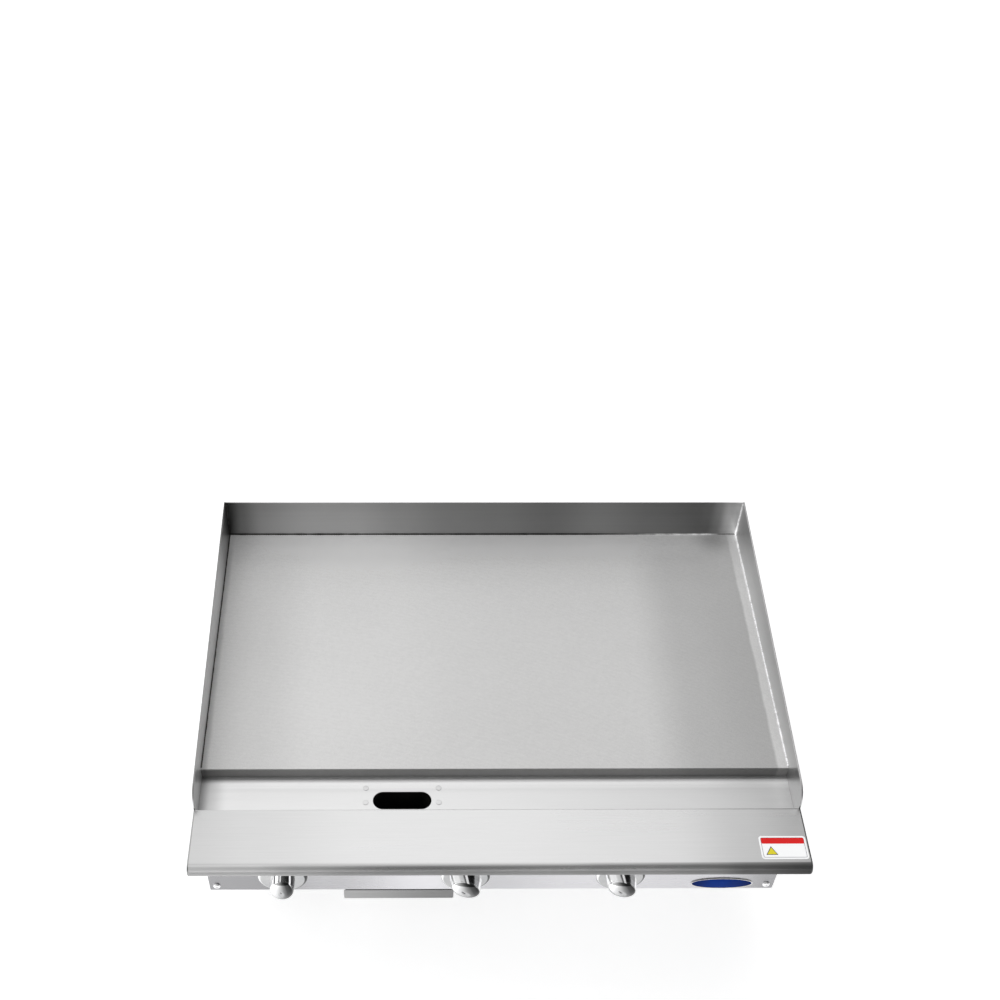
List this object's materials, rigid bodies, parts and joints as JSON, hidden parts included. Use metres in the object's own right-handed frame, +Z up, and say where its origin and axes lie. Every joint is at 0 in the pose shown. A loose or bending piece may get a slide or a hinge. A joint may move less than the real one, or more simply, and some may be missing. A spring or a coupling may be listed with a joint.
{
  "type": "countertop gas griddle",
  "caption": "Countertop gas griddle with a flat steel cooking plate, tapered splash guards, grease trough with drain, bullnose front rail, chrome knobs and slide-out grease tray.",
  "frame": {"origin": "centre of the overall footprint (front rail nose to gas inlet end) at counter level, with the feet screwed fully in", "axes": "+Z up, +Y from the controls towards the back, +X to the right seen from the front"},
  "size_m": [0.914, 0.764, 0.386],
  "materials": {
    "plate_steel": "ground carbon steel cooking surface",
    "stainless": "brushed stainless sheet, grain along the width",
    "stainless_splash": "brushed heavy sheet, welded to the plate",
    "body_sheet": "stainless body sheet",
    "knob_chrome": "polished chrome",
    "brass": "turned brass",
    "aluminised": "aluminised steel burner tube",
    "black_pipe": "black iron gas pipe",
    "tube_alu": "soft aluminium gas tube",
    "leg_steel": "nickel plated leg",
    "fastener": "plated fastener",
    "badge_blue": "glossy dark blue enamel, no lettering"
  },
  "bodies": {
    "housing": {"back_splash": "stainless_splash", "badge_plate": "badge_blue", "base_rail_front": "body_sheet", "base_rail_rear": "body_sheet", "bottom_shield": "body_sheet", "burner_box_baffle": "body_sheet", "burner_centre": "aluminised", "burner_gas_tubes": "tube_alu", "burner_left": "aluminised", "burner_rear_bracket": "body_sheet", "burner_right": "aluminised", "chute_rivets": "fastener", "front_panel": "stainless", "front_rail": "stainless", "gas_manifold": "black_pipe", "gas_valve_centre": "brass", "gas_valve_left": "brass", "gas_valve_right": "brass", "grease_chute": "body_sheet", "grease_trough": "stainless", "griddle_plate": "plate_steel", "leg_front_left": "leg_steel", "leg_front_right": "leg_steel", "leg_nuts": "fastener", "leg_rear_left": "leg_steel", "leg_rear_right": "leg_steel", "orifice_fittings": "brass", "panel_screws": "fastener", "pilot_burners": "aluminised", "pilot_tubes": "tube_alu", "pilot_valves": "brass", "pipe_elbow": "black_pipe", "plate_support_rear": "body_sheet", "rail_end_cap_left": "stainless", "rail_end_cap_right": "stainless", "rail_screws": "fastener", "rear_panel": "body_sheet", "side_panel_left": "body_sheet", "side_panel_right": "body_sheet", "side_splash_left": "stainless_splash", "side_splash_right": "stainless_splash", "supply_pipe": "black_pipe", "tray_rails": "body_sheet"},
    "knob_left_body": {"knob_left": "knob_chrome", "valve_stem_left": "brass"},
    "knob_centre_body": {"knob_centre": "knob_chrome", "valve_stem_centre": "brass"},
    "knob_right_body": {"knob_right": "knob_chrome", "valve_stem_right": "brass"},
    "tray_body": {"grease_tray": "stainless"},
    "shutter_left_body": {"air_shutter_left": "aluminised"},
    "pilot_screw_left_body": {"pilot_screw_left": "brass"},
    "shutter_centre_body": {"air_shutter_centre": "aluminised"},
    "pilot_screw_centre_body": {"pilot_screw_centre": "brass"},
    "shutter_right_body": {"air_shutter_right": "aluminised"},
    "pilot_screw_right_body": {"pilot_screw_right": "brass"},
    "foot_front_left_body": {"foot_front_left": "leg_steel"},
    "foot_front_right_body": {"foot_front_right": "leg_steel"},
    "foot_rear_left_body": {"foot_rear_left": "leg_steel"},
    "foot_rear_right_body": {"foot_rear_right": "leg_steel"}
  },
  "joints": [
    {"name": "grease_tray_slide", "type": "slide", "parent": "housing", "child": "tray_body", "axis": [0, -1, 0], "range_m": [0, 0.34]},
    {"name": "knob_left_turn", "type": "hinge", "parent": "housing", "child": "knob_left_body", "pos_m": [-0.332, -0.2935, 0.165], "axis": [0, -1, 0], "range_deg": [0, 90]},
    {"name": "knob_centre_turn", "type": "hinge", "parent": "housing", "child": "knob_centre_body", "pos_m": [-0.045, -0.2935, 0.165], "axis": [0, -1, 0], "range_deg": [0, 90]},
    {"name": "knob_right_turn", "type": "hinge", "parent": "housing", "child": "knob_right_body", "pos_m": [0.199, -0.2935, 0.165], "axis": [0, -1, 0], "range_deg": [0, 90]},
    {"name": "leveling_foot_front_left", "type": "slide", "parent": "housing", "child": "foot_front_left_body", "axis": [0, 0, -1], "range_m": [0, 0.025]},
    {"name": "leveling_foot_front_right", "type": "slide", "parent": "housing", "child": "foot_front_right_body", "axis": [0, 0, -1], "range_m": [0, 0.025]},
    {"name": "leveling_foot_rear_left", "type": "slide", "parent": "housing", "child": "foot_rear_left_body", "axis": [0, 0, -1], "range_m": [0, 0.025]},
    {"name": "leveling_foot_rear_right", "type": "slide", "parent": "housing", "child": "foot_rear_right_body", "axis": [0, 0, -1], "range_m": [0, 0.025]},
    {"name": "mixer_shutter_left", "type": "hinge", "parent": "housing", "child": "shutter_left_body", "pos_m": [-0.303, -0.1835, 0.21], "axis": [0, 1, 0], "range_deg": [0, 45]},
    {"name": "mixer_shutter_centre", "type": "hinge", "parent": "housing", "child": "shutter_centre_body", "pos_m": [0, -0.1835, 0.21], "axis": [0, 1, 0], "range_deg": [0, 45]},
    {"name": "mixer_shutter_right", "type": "hinge", "parent": "housing", "child": "shutter_right_body", "pos_m": [0.303, -0.1835, 0.21], "axis": [0, 1, 0], "range_deg": [0, 45]},
    {"name": "pilot_screw_left", "type": "hinge", "parent": "housing", "child": "pilot_screw_left_body", "pos_m": [-0.272, -0.2495, 0.165], "axis": [0, 1, 0], "range_deg": [0, 270]},
    {"name": "pilot_screw_centre", "type": "hinge", "parent": "housing", "child": "pilot_screw_centre_body", "pos_m": [0.015, -0.2495, 0.165], "axis": [0, 1, 0], "range_deg": [0, 270]},
    {"name": "pilot_screw_right", "type": "hinge", "parent": "housing", "child": "pilot_screw_right_body", "pos_m": [0.259, -0.2495, 0.165], "axis": [0, 1, 0], "range_deg": [0, 270]}
  ]
}
